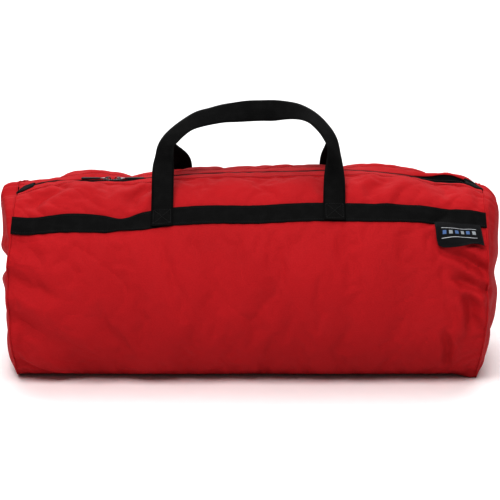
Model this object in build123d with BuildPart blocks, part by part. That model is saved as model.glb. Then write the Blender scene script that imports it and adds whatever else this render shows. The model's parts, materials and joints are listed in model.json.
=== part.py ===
from build123d import *
import math
import os

# Hockey equipment bag: a stuffed cylindrical duffel lying on a flattened base.
# X runs along the bag, the front faces -Y, Z is up, and the floor is Z = 0. Millimetres.

# ---- Driving dimensions ----
bag_length = 914.0
end_bulge = 27.0
crown_height = 362.0
barrel_radius = 198.0
base_half_width = 80.0
corner_radius = 87.0
cloth = 3.0
end_inset = 24.0

# Zip, measured in its own section: u is across (towards the back), v is up from the tape.
zip_y = -8.0
zip_z = 338.0
zip_end = 425.0
tooth_gap = 0.6
tooth_row_edge = 3.0
tooth_height = 3.0
tape_edge = 16.0
tape_half = 0.5
facing_inner = 7.5
facing_outer = 22.0
facing_top = 2.5
tab_length = 44.0
tab_half_width = 18.0
tab_thickness = 1.5

# Mouth: the stretch of cloth on both sides of the zip that folds in when it is open.
mouth_left = -212.0
mouth_right = 362.0
mouth_clearance = 1.0
lip_outer = 70.0
lip_outer_top = -5.0
wall_edge_u = 96.0

# Sliders and pulls.
slider_length = 16.0
slider_half_width = 6.5
slider_left_x = -255.0
slider_right_x = -237.0
plate_thickness = 1.5
plate_gap = 1.9
wedge_width = 0.6
cheek_inner = 4.0
cheek_outer = 5.2
cheek_length = 5.0
pivot_v = 5.6
pin_radius = 0.8
eye_radius = 1.8
eye_hole = 1.1
link_half_width = 3.7
link_reach = 12.0
link_thickness = 1.6
grip_length = 36.0
grip_half_width = 4.5
grip_thickness = 3.2

# Webbing.
webbing_width = 38.0
webbing = 2.0
lay_gap = 0.2
band_angle = 44.0
loop_half_width = {"front": 172.0, "back": 160.0}
loop_shift = {"front": 0.0, "back": 12.0}
loop_narrowing = 10.0
loop_reach = 204.0
loop_corner = 88.0
loop_lean = 37.5
loop_thickness = 3.0
loop_start = 3.0
hinge_lift = 5.5

# Label tag under the front band.
label_width = 79.0
label_height = 46.0
label_thickness = 1.2
label_x = 360.0
label_lift = 2.2

# Seam bindings inside both end seams.
binding_width = 14.0
binding_thickness = 2.0

# ---- Worked out from the above ----
seam_x = bag_length / 2 - end_bulge
barrel_z = crown_height - barrel_radius
band_half_angle = math.degrees(webbing_width / 2 / barrel_radius)
band_low = band_angle + band_half_angle
band_high = band_angle - band_half_angle


def barrel_point(angle, radius=barrel_radius):
    """Point (y, z) on the upper barrel, angle in degrees from the crown towards the back."""
    turn = math.radians(angle)
    return radius * math.sin(turn), barrel_z + radius * math.cos(turn)


def corner_geometry(inset):
    """Arc points of the rounded base corner at the back: start, middle, end on the barrel."""
    dy = base_half_width
    dz = corner_radius - barrel_z
    reach = math.hypot(dy, dz)
    ny = dy / reach
    nz = dz / reach
    end = (ny * (barrel_radius - inset), barrel_z + nz * (barrel_radius - inset))
    middle_turn = (math.atan2(nz, ny) - math.pi / 2) / 2
    radius = corner_radius - inset
    middle = (dy + radius * math.cos(middle_turn), corner_radius + radius * math.sin(middle_turn))
    return (dy, inset), middle, end


def flip(point, side):
    """Mirror a section point to the front (side -1) or keep it at the back (side 1)."""
    return point[0] * side, point[1]


def section(inset, plane):
    """The whole closed outline of the bag's cross-section, moved inwards by inset."""
    start, middle, end = corner_geometry(inset)
    crown = (0, crown_height - inset)
    with BuildSketch(plane) as outline:
        with BuildLine():
            Line(flip(start, -1), start)
            ThreePointArc(start, middle, end)
            ThreePointArc(end, crown, flip(end, -1))
            ThreePointArc(flip(end, -1), flip(middle, -1), flip(start, -1))
        make_face()
    return outline.sketch


def wall_section(side, top_angle):
    """Section of one long wall: from the base seam round the corner and up towards the crown."""
    start, middle, end = corner_geometry(0)
    start_in, middle_in, end_in = corner_geometry(cloth)
    end_angle = math.degrees(math.atan2(end[0], end[1] - barrel_z))
    half_angle = (end_angle + top_angle) / 2
    inner_radius = barrel_radius - cloth
    with BuildSketch(Plane.YZ.offset(-seam_x)) as outline:
        with BuildLine():
            ThreePointArc(flip(start, side), flip(middle, side), flip(end, side))
            ThreePointArc(
                flip(end, side), flip(barrel_point(half_angle), side), flip(barrel_point(top_angle), side)
            )
            Line(flip(barrel_point(top_angle), side), flip(barrel_point(top_angle, inner_radius), side))
            ThreePointArc(
                flip(barrel_point(top_angle, inner_radius), side),
                flip(barrel_point(half_angle, inner_radius), side),
                flip(end_in, side),
            )
            ThreePointArc(flip(end_in, side), flip(middle_in, side), flip(start_in, side))
            Line(flip(start_in, side), flip(start, side))
        make_face()
    return outline.sketch


def strip_section(side, low, high, inner, outer, x):
    """Section of a strip that lies on the barrel between two angles from the crown."""
    middle = (low + high) / 2
    with BuildSketch(Plane.YZ.offset(x)) as outline:
        with BuildLine():
            ThreePointArc(
                flip(barrel_point(low, outer), side),
                flip(barrel_point(middle, outer), side),
                flip(barrel_point(high, outer), side),
            )
            Line(flip(barrel_point(high, outer), side), flip(barrel_point(high, inner), side))
            ThreePointArc(
                flip(barrel_point(high, inner), side),
                flip(barrel_point(middle, inner), side),
                flip(barrel_point(low, inner), side),
            )
            Line(flip(barrel_point(low, inner), side), flip(barrel_point(low, outer), side))
        make_face()
    return outline.sketch


def zip_profile(points, side, x):
    """A closed polygon given as (u, v) on the back side of the zip, placed at x."""
    with BuildSketch(Plane.YZ.offset(x)) as outline:
        with BuildLine():
            Polyline(*[(zip_y + side * u, zip_z + v) for u, v in points], close=True)
        make_face()
    return outline.sketch


def box_points(u0, u1, v0, v1):
    """Corners of an upright rectangle in the zip's section."""
    return [(u0, v0), (u1, v0), (u1, v1), (u0, v1)]


def finish(part, name):
    """Label a finished piece and write its STEP file."""
    part.label = name
    export_step(part, f"parts/{name}.step")


os.makedirs("parts", exist_ok=True)

sides = [("front", -1), ("back", 1)]
ends = [("left", -1), ("right", 1)]
fixed_stretches = [(-zip_end, mouth_left - mouth_clearance), (mouth_right + mouth_clearance, zip_end)]
mouth_length = mouth_right - mouth_left
tape_points = box_points(tooth_row_edge, tape_edge, -tape_half, tape_half)
tooth_points = box_points(tooth_gap, tooth_row_edge, -tooth_height / 2, tooth_height / 2)
facing_points = box_points(facing_inner, facing_outer, tape_half, facing_top)
lip_points = [
    (facing_outer, facing_top),
    (lip_outer, lip_outer_top),
    (lip_outer, lip_outer_top - cloth),
    (facing_outer, facing_top - cloth),
]

# ---- Long walls: one sheet of cloth each, with its flat shoulder at the closed ends of the zip ----
for side_name, side in sides:
    edge_y = zip_y * side + wall_edge_u
    edge_angle = math.degrees(math.asin(edge_y / barrel_radius))
    edge_v = barrel_point(edge_angle)[1] - zip_z
    shoulder_points = [
        (facing_outer, facing_top),
        (wall_edge_u + 1, edge_v),
        (wall_edge_u + 1, edge_v - cloth),
        (facing_outer, facing_top - cloth),
    ]
    with BuildPart() as wall:
        extrude(wall_section(side, edge_angle), amount=2 * seam_x)
        for x0, x1 in fixed_stretches:
            extrude(zip_profile(shoulder_points, side, x0), amount=x1 - x0)
    finish(wall.part, f"{side_name}_panel")

# ---- Base panel: the flat face that the bag rests on ----
with BuildPart() as base:
    with BuildSketch(Plane.XY):
        Rectangle(2 * seam_x, 2 * base_half_width)
    extrude(amount=cloth)
finish(base.part, "bottom_panel")

# ---- End panels: bulging rounds sewn to the ends of the walls ----
for end_name, end in ends:
    seam_plane = Plane.YZ.offset(end * seam_x)
    outer_plane = Plane.YZ.offset(end * (seam_x + end_bulge))
    inner_plane = Plane.YZ.offset(end * (seam_x + end_bulge - cloth))
    with BuildPart() as round_end:
        loft([section(0, seam_plane), section(end_inset, outer_plane)], ruled=True)
        loft(
            [section(cloth, seam_plane), section(end_inset + cloth, inner_plane)],
            ruled=True,
            mode=Mode.SUBTRACT,
        )
    finish(round_end.part, f"end_panel_{end_name}")

# ---- Seam bindings: a tape round the inside of both end seams, open where the zip runs out ----
for end_name, end in ends:
    ring_x = end * (seam_x - binding_width / 2) - binding_width / 2
    ring_plane = Plane.YZ.offset(ring_x)
    with BuildPart() as binding:
        extrude(section(cloth, ring_plane), amount=binding_width)
        extrude(section(cloth + binding_thickness, ring_plane), amount=binding_width, mode=Mode.SUBTRACT)
        with BuildSketch(Plane.XY.offset(crown_height - 60)):
            with Locations((end * seam_x, 0)):
                Rectangle(4 * binding_width, 2 * wall_edge_u + 30)
        extrude(amount=80, mode=Mode.SUBTRACT)
    finish(binding.part, f"end_binding_{end_name}")

# ---- Webbing bands along both shoulders, from end seam to end seam ----
for side_name, side in sides:
    inner = barrel_radius + lay_gap
    with BuildPart() as band:
        extrude(
            strip_section(side, band_high, band_low, inner, inner + webbing, -seam_x), amount=2 * seam_x
        )
    finish(band.part, f"band_{side_name}")

# ---- Handle feet: the two ends of each handle, sewn flat over the band ----
foot_inner = barrel_radius + 2 * lay_gap + webbing
for side_name, side in sides:
    foot_offset = loop_half_width[side_name] - webbing_width / 2
    shift = loop_shift[side_name]
    with BuildPart() as feet:
        for x in (shift - foot_offset, shift + foot_offset):
            foot = strip_section(
                side, band_high + 0.5, band_low, foot_inner, foot_inner + webbing, x - webbing_width / 2
            )
            extrude(foot, amount=webbing_width)
    finish(feet.part, f"handle_feet_{side_name}")

# ---- Handle loops: free webbing arches that turn about the upper edge of the bands ----
hinge_y, hinge_z = barrel_point(band_high, barrel_radius + hinge_lift)
lean = math.radians(loop_lean)
for side_name, side in sides:
    outer_half = loop_half_width[side_name]
    outer_top = outer_half - loop_narrowing
    top_outer = outer_top - loop_corner
    arm_plane = Plane(
        origin=(loop_shift[side_name], side * hinge_y, hinge_z),
        x_dir=(1, 0, 0),
        z_dir=(0, side * math.cos(lean), math.sin(lean)),
    )
    with BuildPart() as loop:
        with BuildSketch(arm_plane):
            rise = loop_reach - loop_corner
            inner_half = outer_half - webbing_width
            inner_top = outer_top - webbing_width
            inner_corner = loop_corner - webbing_width
            up = -side
            with BuildLine():
                Line((-outer_half, up * loop_start), (-outer_top, up * rise))
                RadiusArc(
                    (-outer_top, up * rise), (-top_outer, up * loop_reach), up * loop_corner
                )
                Line((-top_outer, up * loop_reach), (top_outer, up * loop_reach))
                RadiusArc(
                    (top_outer, up * loop_reach), (outer_top, up * rise), up * loop_corner
                )
                Line((outer_top, up * rise), (outer_half, up * loop_start))
                Line((outer_half, up * loop_start), (inner_half, up * loop_start))
                Line((inner_half, up * loop_start), (inner_top, up * rise))
                RadiusArc(
                    (inner_top, up * rise),
                    (top_outer, up * (rise + inner_corner)),
                    -up * inner_corner,
                )
                Line((top_outer, up * (rise + inner_corner)), (-top_outer, up * (rise + inner_corner)))
                RadiusArc(
                    (-top_outer, up * (rise + inner_corner)),
                    (-inner_top, up * rise),
                    -up * inner_corner,
                )
                Line((-inner_top, up * rise), (-inner_half, up * loop_start))
                Line((-inner_half, up * loop_start), (-outer_half, up * loop_start))
            make_face()
        extrude(amount=loop_thickness / 2, both=True)
    finish(loop.part, f"handle_loop_{side_name}")

# ---- Label tag: a woven tab hanging from the lower edge of the front band ----
label_radius = barrel_radius + label_lift
label_y, label_z = barrel_point(-(band_low + 1), label_radius)
label_turn = math.radians(band_low + 1)
label_plane = Plane(
    origin=(label_x, label_y, label_z),
    x_dir=(1, 0, 0),
    z_dir=(0, -math.sin(label_turn), math.cos(label_turn)),
)
with BuildPart() as label:
    with BuildSketch(label_plane):
        with Locations((0, -label_height / 2 - 1)):
            Rectangle(label_width, label_height)
    extrude(amount=label_thickness / 2, both=True)
finish(label.part, "label_tag")

# ---- Zip: tapes, tooth rows and cloth facings, in fixed stretches and along the mouth ----
zip_layers = [("zip_tape", tape_points), ("zip_teeth", tooth_points), ("zip_facing", facing_points)]
for side_name, side in sides:
    for layer_name, points in zip_layers:
        with BuildPart() as fixed:
            for x0, x1 in fixed_stretches:
                extrude(zip_profile(points, side, x0), amount=x1 - x0)
        finish(fixed.part, f"{layer_name}_{side_name}")
        with BuildPart() as moving:
            extrude(zip_profile(points, side, mouth_left), amount=mouth_length)
        finish(moving.part, f"mouth_{layer_name}_{side_name}")
    with BuildPart() as lip:
        extrude(zip_profile(lip_points, side, mouth_left), amount=mouth_length)
    finish(lip.part, f"mouth_lip_{side_name}")

# ---- Zip end tabs: short black covers over both ends of the zip ----
for end_name, end in ends:
    with BuildPart() as tab:
        with BuildSketch(Plane.XY.offset(zip_z + facing_top)):
            with Locations((end * (zip_end - tab_length / 2), zip_y)):
                Rectangle(tab_length, 2 * tab_half_width)
        extrude(amount=tab_thickness)
        fillet(tab.edges().filter_by(Axis.Z), radius=3)
    finish(tab.part, f"zip_end_tab_{end_name}")

# ---- Sliders, head to head, each with a hinged metal link and a moulded grip ----
sliders = [("left", slider_left_x, -1), ("right", slider_right_x, 1)]
for slider_name, slider_x, way in sliders:
    pivot_z = zip_z + pivot_v
    cheek_top = pivot_v + eye_radius
    with BuildPart() as slider:
        with BuildSketch(Plane.XY.offset(zip_z + plate_gap)):
            with Locations((slider_x, zip_y)):
                RectangleRounded(slider_length, 2 * slider_half_width, 3)
        extrude(amount=plate_thickness)
        with BuildSketch(Plane.XY.offset(zip_z - plate_gap)):
            with Locations((slider_x, zip_y)):
                RectangleRounded(slider_length, 2 * slider_half_width, 3)
        extrude(amount=-plate_thickness)
        with BuildSketch(Plane.XY.offset(zip_z - plate_gap)):
            with Locations((slider_x - way * 3, zip_y)):
                Rectangle(6, wedge_width)
        extrude(amount=2 * plate_gap)
        with BuildSketch(Plane.XY.offset(zip_z + plate_gap)):
            for cheek in (-1, 1):
                with Locations((slider_x, zip_y + cheek * (cheek_inner + cheek_outer) / 2)):
                    Rectangle(cheek_length, cheek_outer - cheek_inner)
        extrude(amount=cheek_top - plate_gap)
        with BuildSketch(Plane.XZ.offset(-zip_y)):
            with Locations((slider_x, pivot_z)):
                Circle(pin_radius)
        extrude(amount=cheek_inner, both=True)
    finish(slider.part, f"slider_{slider_name}")
    with BuildPart() as link:
        with BuildSketch(Plane.XZ.offset(-zip_y)):
            with Locations((slider_x, pivot_z)):
                Circle(eye_radius)
            with Locations((slider_x + way * link_reach / 2, pivot_z)):
                Rectangle(link_reach, link_thickness)
            with Locations((slider_x, pivot_z)):
                Circle(eye_hole, mode=Mode.SUBTRACT)
        extrude(amount=link_half_width, both=True)
    finish(link.part, f"pull_link_{slider_name}")
    with BuildPart() as grip:
        with BuildSketch(Plane.XY.offset(pivot_z - grip_thickness / 2)):
            with Locations((slider_x + way * (link_reach + grip_length / 2), zip_y)):
                RectangleRounded(grip_length, 2 * grip_half_width, 3.5)
        extrude(amount=grip_thickness)
    finish(grip.part, f"pull_grip_{slider_name}")
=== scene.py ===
import json
import math
import bmesh
import bpy
import numpy as np
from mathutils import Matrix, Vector


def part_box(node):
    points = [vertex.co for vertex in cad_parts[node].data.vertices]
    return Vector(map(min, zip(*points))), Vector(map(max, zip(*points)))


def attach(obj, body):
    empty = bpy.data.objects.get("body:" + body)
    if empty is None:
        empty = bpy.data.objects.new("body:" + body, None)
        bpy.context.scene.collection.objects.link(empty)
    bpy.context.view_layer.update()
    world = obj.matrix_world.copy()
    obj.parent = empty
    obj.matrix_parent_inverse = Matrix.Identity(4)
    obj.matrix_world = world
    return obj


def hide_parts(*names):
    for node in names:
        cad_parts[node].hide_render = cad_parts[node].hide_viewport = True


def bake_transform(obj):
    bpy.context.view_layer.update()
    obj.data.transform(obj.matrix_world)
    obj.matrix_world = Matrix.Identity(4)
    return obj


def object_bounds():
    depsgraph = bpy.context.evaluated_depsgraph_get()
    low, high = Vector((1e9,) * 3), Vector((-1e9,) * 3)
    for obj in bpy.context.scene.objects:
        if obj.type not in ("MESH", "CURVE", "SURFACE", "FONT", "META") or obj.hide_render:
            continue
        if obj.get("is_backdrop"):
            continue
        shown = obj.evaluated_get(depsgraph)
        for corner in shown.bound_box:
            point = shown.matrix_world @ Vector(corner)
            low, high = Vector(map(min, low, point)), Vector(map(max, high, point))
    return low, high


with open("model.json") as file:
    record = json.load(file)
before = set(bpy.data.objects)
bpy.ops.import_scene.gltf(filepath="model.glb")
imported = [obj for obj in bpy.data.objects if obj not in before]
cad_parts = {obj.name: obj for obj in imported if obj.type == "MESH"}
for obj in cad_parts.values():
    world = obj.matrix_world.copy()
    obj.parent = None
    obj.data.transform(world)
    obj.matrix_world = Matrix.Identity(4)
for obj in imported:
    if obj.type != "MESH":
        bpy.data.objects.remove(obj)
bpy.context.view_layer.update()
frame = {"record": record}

# ---------------------------------------------------------------- sizes from the frame (metres)
SEAM_INSET = 0.019  # the stuffed cloth draws its end seams in
END_MARGIN = 0.002  # the ends stay this far inside the CAD box
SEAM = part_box("front_panel")[1][0] - SEAM_INSET
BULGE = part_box("end_panel_right")[1][0] - SEAM - END_MARGIN
RADIUS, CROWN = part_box("end_panel_right")[1][1:]
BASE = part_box("bottom_panel")[1][1]
BARREL_Z = CROWN - RADIUS
CORNER = (RADIUS**2 - BASE**2 - BARREL_Z**2) / (2 * (RADIUS - BARREL_Z))
ZIP_Y = (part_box("slider_left")[0][1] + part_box("slider_left")[1][1]) / 2
ZIP_Z = (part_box("zip_tape_front")[0][2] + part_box("zip_tape_front")[1][2]) / 2
MOUTH = (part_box("mouth_lip_front")[0][0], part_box("mouth_lip_front")[1][0])
MOUTH_MID = (MOUTH[0] + MOUTH[1]) / 2
FACING_SEAM = 0.029  # from the zip's line to the facing's seam
JOINTS = {joint["name"]: joint for joint in frame["record"]["behaviour"]["joints"]}

WEBBING = 0.038
WEBBING_THICK = 0.0018
CLOTH_THICK = 0.0012
CLOTH_PITCH = 0.0045  # size of the cloth's mesh
NUDGE = 0.0015  # step for taking a surface's slope
BAND_LIFT = 0.0004  # gap between cloth and band
BAND_ROUGH = 0.15  # share of the small wrinkles that a band follows
STITCH_ROW = 0.0155  # from a band's middle to its stitches
BAND_ANGLE = 44.0
SIDES = {"front": -1, "back": 1}

TURN_END = math.atan2(BASE, CORNER - BARREL_Z)
ARC = RADIUS * TURN_END
ARC_CORNER = CORNER * (math.pi - TURN_END)
BASE_SEAM = ARC + ARC_CORNER
HALF_GIRTH = BASE_SEAM + BASE
BAND_T = RADIUS * math.radians(BAND_ANGLE)


# ---------------------------------------------------------------- small maths
def smooth(v, low, high):
    """0 below low, 1 above high, smooth between."""
    s = np.clip((np.asarray(v, float) - low) / (high - low), 0, 1)
    return s * s * (3 - 2 * s)


def bump(v, centre, width):
    """A soft bell of height 1."""
    return np.exp(-(((np.asarray(v, float) - centre) / width) ** 2))


def unit(vectors):
    """Vectors scaled to length 1."""
    return vectors / np.linalg.norm(vectors, axis=-1, keepdims=True)


def softened(v):
    """Each inner row moved towards its neighbours."""
    return np.concatenate([v[:1], (v[:-2] + 2 * v[1:-1] + v[2:]) / 4, v[-1:]])


def run_length(points):
    """Length along a line of points, from its start to each of them."""
    return np.concatenate([[0], np.cumsum(np.linalg.norm(np.diff(points, axis=0), axis=1))])


def grid_of(x, t):
    return np.broadcast_arrays(np.asarray(x, float), np.asarray(t, float))


def through(points, v):
    """A smooth curve through a few (place, value) points."""
    xs, ys = np.array(points, float).T
    slopes = np.gradient(ys, xs)
    v = np.clip(np.asarray(v, float), xs[0], xs[-1])
    i = np.clip(np.searchsorted(xs, v) - 1, 0, len(xs) - 2)
    h = xs[i + 1] - xs[i]
    s = (v - xs[i]) / h
    return (
        ys[i] * (1 + 2 * s) * (1 - s) ** 2
        + slopes[i] * h * s * (1 - s) ** 2
        + ys[i + 1] * s * s * (3 - 2 * s)
        + slopes[i + 1] * h * s * s * (s - 1)
    )


def noise(u, v, seed=0):
    """Gradient noise in about -1 to 1, the same on every run."""
    u = np.asarray(u, float) + 31.7 * seed
    v = np.asarray(v, float) - 17.3 * seed
    iu, iv = np.floor(u), np.floor(v)
    fu, fv = u - iu, v - iv

    def corner(a, b):
        angle = np.sin((iu + a) * 127.1 + (iv + b) * 311.7 + seed * 74.7) * 43758.5453
        angle = 2 * math.pi * (angle - np.floor(angle))
        return np.cos(angle) * (fu - a) + np.sin(angle) * (fv - b)

    su = fu * fu * fu * (fu * (fu * 6 - 15) + 10)
    sv = fv * fv * fv * (fv * (fv * 6 - 15) + 10)
    low = corner(0, 0) * (1 - su) + corner(1, 0) * su
    high = corner(0, 1) * (1 - su) + corner(1, 1) * su
    return 1.5 * (low * (1 - sv) + high * sv)


def ridge(u, v, seed):
    """Sharp-crested folds between soft hollows, 0 to 1."""
    return (1 - np.abs(np.tanh(2.2 * noise(u, v, seed)))) ** 2


# ---------------------------------------------------------------- the skin of the stuffed bag
def outline(t):
    """Section point and outward normal at a length t along the section from the crown, + to the back."""
    t = np.asarray(t, float)
    s = np.abs(t)
    turn = np.where(s < ARC, s / RADIUS, TURN_END + (s - ARC) / CORNER)
    turn = np.minimum(turn, math.pi)
    y = np.where(s < ARC, RADIUS * np.sin(turn), BASE + CORNER * np.sin(turn))
    z = np.where(s < ARC, BARREL_Z + RADIUS * np.cos(turn), CORNER + CORNER * np.cos(turn))
    y = np.where(s > BASE_SEAM, HALF_GIRTH - s, y)
    z = np.where(s > BASE_SEAM, 0.0, z)
    sign = np.where(t < 0, -1.0, 1.0)
    return y * sign, z, np.sin(turn) * sign, np.cos(turn)


# How far the crown has sunk along the bag, and where the zip and the front band wander.
CROWN_SINK = [
    (-0.411, 0.0215), (-0.385, 0.024), (-0.365, 0.024), (-0.340, 0.0175), (-0.318, 0.012), (-0.280, 0.009),
    (-0.246, 0.0145), (-0.215, 0.0185), (-0.175, 0.014), (-0.140, 0.009), (-0.100, 0.0065), (-0.040, 0.0035),
    (0.030, 0.002), (0.100, 0.001), (0.150, 0.003), (0.185, 0.003), (0.220, 0.000), (0.270, 0.002),
    (0.300, 0.0085), (0.335, 0.0205), (0.365, 0.0205), (0.388, 0.0205), (0.402, 0.026), (0.420, 0.031),
]
ZIP_PATH = [
    (-0.411, -0.039), (-0.398, -0.031), (-0.375, -0.0175), (-0.340, -0.0125), (-0.290, -0.011),
    (-0.246, -0.009), (-0.180, -0.009), (0.000, -0.009), (0.200, -0.008), (0.375, -0.008), (0.400, -0.013),
    (0.420, -0.020),
]
BAND_PATH = [
    (-0.411, -0.013), (-0.375, -0.0165), (-0.311, -0.0135), (-0.265, -0.014), (-0.222, -0.0155),
    (-0.185, -0.008), (-0.150, -0.003), (-0.080, 0.001), (0.000, 0.002), (0.120, 0.006), (0.240, 0.0035),
    (0.333, 0.0055), (0.364, 0.004), (0.420, 0.002),
]
# Creases listed one by one: from (x, t) to (x, t), half width, depth.
CREASES = [
    ((0.345, -0.222), (0.428, -0.262), 0.010, 0.0058),
    ((0.352, -0.268), (0.415, -0.292), 0.009, 0.0050),
    ((0.372, -0.300), (0.392, -0.360), 0.010, 0.0052),
    ((0.402, -0.262), (0.428, -0.345), 0.009, 0.0056),
    ((0.340, -0.375), (0.352, -0.450), 0.008, 0.0036),
    ((0.300, -0.190), (0.345, -0.225), 0.016, 0.0030),
    ((-0.425, -0.270), (-0.330, -0.296), 0.017, 0.0050),
    ((-0.420, -0.335), (-0.270, -0.440), 0.024, 0.0052),
    ((-0.415, -0.200), (-0.350, -0.230), 0.018, 0.0030),
    ((-0.120, -0.220), (-0.020, -0.330), 0.040, 0.0020),
    ((0.130, -0.205), (0.210, -0.330), 0.045, 0.0022),
    ((-0.210, -0.120), (-0.170, -0.060), 0.014, 0.0036),
    ((0.210, -0.120), (0.250, -0.050), 0.016, 0.0034),
    ((-0.380, -0.120), (-0.330, -0.060), 0.016, 0.0038),
    ((-0.400, 0.240), (-0.280, 0.300), 0.022, 0.0040),
    ((0.390, 0.220), (0.300, 0.300), 0.022, 0.0042),
    ((0.100, 0.260), (-0.060, 0.360), 0.034, 0.0030),
    ((-0.180, 0.200), (-0.230, 0.330), 0.026, 0.0030),
]


def crease(x, t, start, end, width, depth):
    """A dent along a line with a soft lip on both sides, fading at both ends."""
    ax, at = start
    dx, dt = end[0] - ax, end[1] - at
    length = math.hypot(dx, dt)
    along = ((x - ax) * dx + (t - at) * dt) / length**2
    across = ((x - ax) * dt - (t - at) * dx) / length
    across = across + 0.25 * width * np.sin(along * 5.0)
    fade = smooth(along, -0.25, 0.25) * (1 - smooth(along, 0.75, 1.25))
    lips = bump(np.abs(across), 1.9 * width, width)
    return depth * fade * (0.55 * lips - bump(across, 0, width))


# Height of the zip: down at the sliders' rest and at both ends of their travel, bowed up in between.
ZIP_HEIGHT = [
    (-0.411, -0.018), (-0.395, -0.011), (-0.375, -0.004), (-0.350, 0.000), (-0.310, 0.000),
    (-0.262, -0.0005), (-0.225, 0.000), (-0.180, 0.005), (-0.100, 0.012), (0.050, 0.0165), (0.220, 0.0165),
    (0.280, 0.009), (0.330, 0.000), (0.380, -0.004), (0.400, -0.012), (0.420, -0.020),
]


def zip_at(x):
    return through(ZIP_PATH, x)


def band_at(x, side):
    """Middle of a webbing band: length along the section from the crown, signed."""
    shift = through(BAND_PATH, x)
    return side * (BAND_T - shift) if side < 0 else side * (BAND_T - 0.5 * shift)


def seam_shift(x, t):
    """The end seams aren't plane: how far they stand out past their mean line."""
    left = 0.007 * bump(t, 0, 0.07) + 0.004 * smooth(np.abs(t), 0.20, 0.26)
    right = 0.011 * bump(t, 0, 0.09) - 0.004 * smooth(np.abs(t), 0.34, BASE_SEAM)
    return np.where(x < 0, -left, right) * smooth(np.abs(x), 0.30, SEAM)


def loose_skin(x, t, fine=1.0):
    """Points on the outside of the cloth before the zip's valley. fine scales the small wrinkles."""
    x, t = grid_of(x, t)
    y, z, ny, nz = outline(t)
    off_floor = 1 - smooth(np.abs(t), BASE_SEAM - 0.075, BASE_SEAM - 0.012)
    end = smooth(np.abs(x), 0.29, SEAM)
    middle = 1 - smooth(np.abs(x), 0.36, SEAM)

    # Broad slack of the cloth between its seams.
    height = 0.0032 * noise(x * 5.2, t * 4.6, 1) + 0.0018 * noise(x * 11 + 3, t * 8.5, 2)
    # Long soft folds, more of them towards both ends, leaning away from the middle.
    lean = np.where(x > 0, 1.0, -1.0)
    u, v = x + 0.55 * lean * t, t - 0.55 * lean * x
    amount = 0.25 + 0.75 * smooth(np.abs(x), 0.15, 0.40)
    patchy = smooth(noise(x * 6, t * 6, 9), -0.5, 0.5)
    height = height - 0.0040 * amount * ridge(u * 4.5, v * 12.0, 3) * patchy
    height = height - fine * 0.0013 * amount * ridge(u * 17.0, v * 26.0, 4)
    height = height + fine * 0.00045 * noise(x * 70, t * 62, 5)
    for one in CREASES:
        height = height + 1.7 * crease(x, t, *one)

    # The end seams gather the cloth: it narrows towards them in small puckers.
    gather = smooth(np.abs(x), SEAM - 0.055, SEAM - 0.004)
    pucker = noise(t * 34, np.sign(x) * 4 + x * 3, 6) + 0.6 * noise(t * 71, np.sign(x) * 7, 7)
    height = height - 0.0060 * end * end - fine * 0.0016 * gather * (1 + pucker)

    # The webbing bands pull into the cloth, which bulges on both sides of them.
    for side in (-1, 1):
        near = t - band_at(x, side)
        height = height - 0.0022 * np.exp(-((near / 0.021) ** 4)) + 0.0016 * bump(np.abs(near), 0.038, 0.014)

    # The facings' seams dimple the cloth along the zip.
    from_zip = np.abs(t - zip_at(x))
    tugs = 1 + 0.5 * noise(x * 60, 2.0, 8)
    height = height - fine * 0.0024 * bump(from_zip, FACING_SEAM + 0.001, 0.004) * tugs

    height = height * off_floor
    y, z = y + ny * height, z + nz * height
    z = z - through(CROWN_SINK, x) * bump(t, 0.02, 0.15)
    sway = 0.004 * middle * noise(x * 3.1, 5.0, 11) * off_floor * smooth(z, 0.05, 0.2)
    y = y * (1 - 0.012 * end * off_floor) + sway
    # A corner of loose cloth pokes out on the floor at the front right.
    ear = bump(x, 0.402, 0.020) * bump(t, -BASE_SEAM + 0.004, 0.026)
    y = y - 0.024 * ear
    z = np.maximum(z * (1 - 0.5 * ear), 0.0)
    return np.stack([x + seam_shift(x, t), y, z], -1)


VALLEY_X = np.linspace(-SEAM - 0.01, SEAM + 0.01, 261)
VALLEY = loose_skin(VALLEY_X, zip_at(VALLEY_X), 0.0)[:, 2] - ZIP_Z - through(ZIP_HEIGHT, VALLEY_X)


def shaped_skin(x, t, fine=1.0):
    """The stuffed shape with the zip's valley, before the cloth simulation."""
    x, t = grid_of(x, t)
    points = loose_skin(x, t, fine)
    depth = np.interp(x, VALLEY_X, VALLEY)
    across = t - zip_at(x)
    width = np.where(across < 0, 0.030, 0.020)
    points[..., 2] -= depth * bump(across, 0, width)
    points[..., 2] += 0.10 * depth * bump(across, 0.036, 0.014)
    # Near the right end the cloth behind the zip stands up and the zip gapes.
    behind = smooth(across, 0.006, 0.019) * (1 - smooth(across, 0.028, 0.075))
    points[..., 2] += bump(x, 0.352, 0.042) * (0.0095 * behind - 0.0030 * bump(across, -0.024, 0.014))
    return points


SIM_X = np.linspace(-SEAM, SEAM, 125)
SIM_T = np.linspace(-HALF_GIRTH, HALF_GIRTH, 177)[:-1]
SIM_CAP = 0.009  # no point moves further than about this
SIM_FRAMES = 24
SIM_SMOOTHING = 60  # passes that tell the swelling from the folds
SWELLING_LEFT_OUT = 0.9
FOLD_GAIN = 1.15
SIM_EXTRA = 0.03  # the cloth is cut this share larger than its shape
SIM_SETTINGS = {
    "quality": 5, "mass": 0.12, "tension_stiffness": 14, "compression_stiffness": 14, "shear_stiffness": 6,
    "bending_stiffness": 0.6, "air_damping": 3, "use_pressure": True, "uniform_pressure_force": 2.5,
    "shrink_min": -SIM_EXTRA, "vertex_group_mass": "held",
}


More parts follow.
